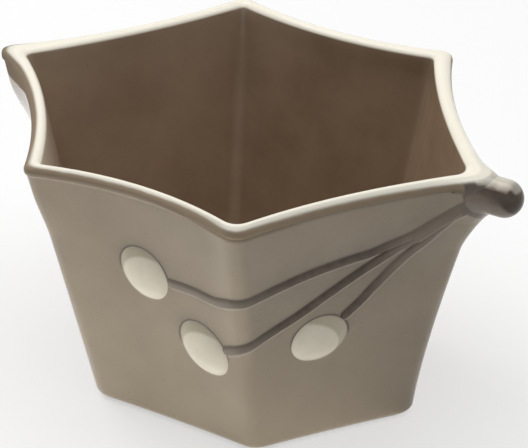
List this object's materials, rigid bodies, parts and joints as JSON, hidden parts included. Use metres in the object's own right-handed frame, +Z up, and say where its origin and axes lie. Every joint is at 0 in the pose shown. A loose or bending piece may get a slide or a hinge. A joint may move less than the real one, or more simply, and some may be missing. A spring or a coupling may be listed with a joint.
{
  "type": "ceramic bowl",
  "caption": "Deep six-sided glazed ceramic bowl with bowed, flared sides, a branch stub at one corner and a fruiting branch in low relief, to hold plants, fruit or small things.",
  "frame": {"origin": "centre of the foot's plane, under the middle of the whole object's box", "axes": "+X along the bowl's length towards the branch stub, +Z up, and the berries face -Y and +X"},
  "size_m": [0.1952, 0.1394, 0.098],
  "materials": {
    "taupe_glaze": "gloss",
    "bark_glaze": "gloss",
    "cream_glaze": "gloss"
  },
  "bodies": {
    "root": {"bowl_body": "taupe_glaze", "branch_stub": "bark_glaze", "branch_fork": "bark_glaze", "stem_upper": "bark_glaze", "stem_middle": "bark_glaze", "stem_lower": "bark_glaze", "berry_left": "cream_glaze", "berry_middle": "cream_glaze", "berry_right": "cream_glaze"}
  },
  "joints": []
}
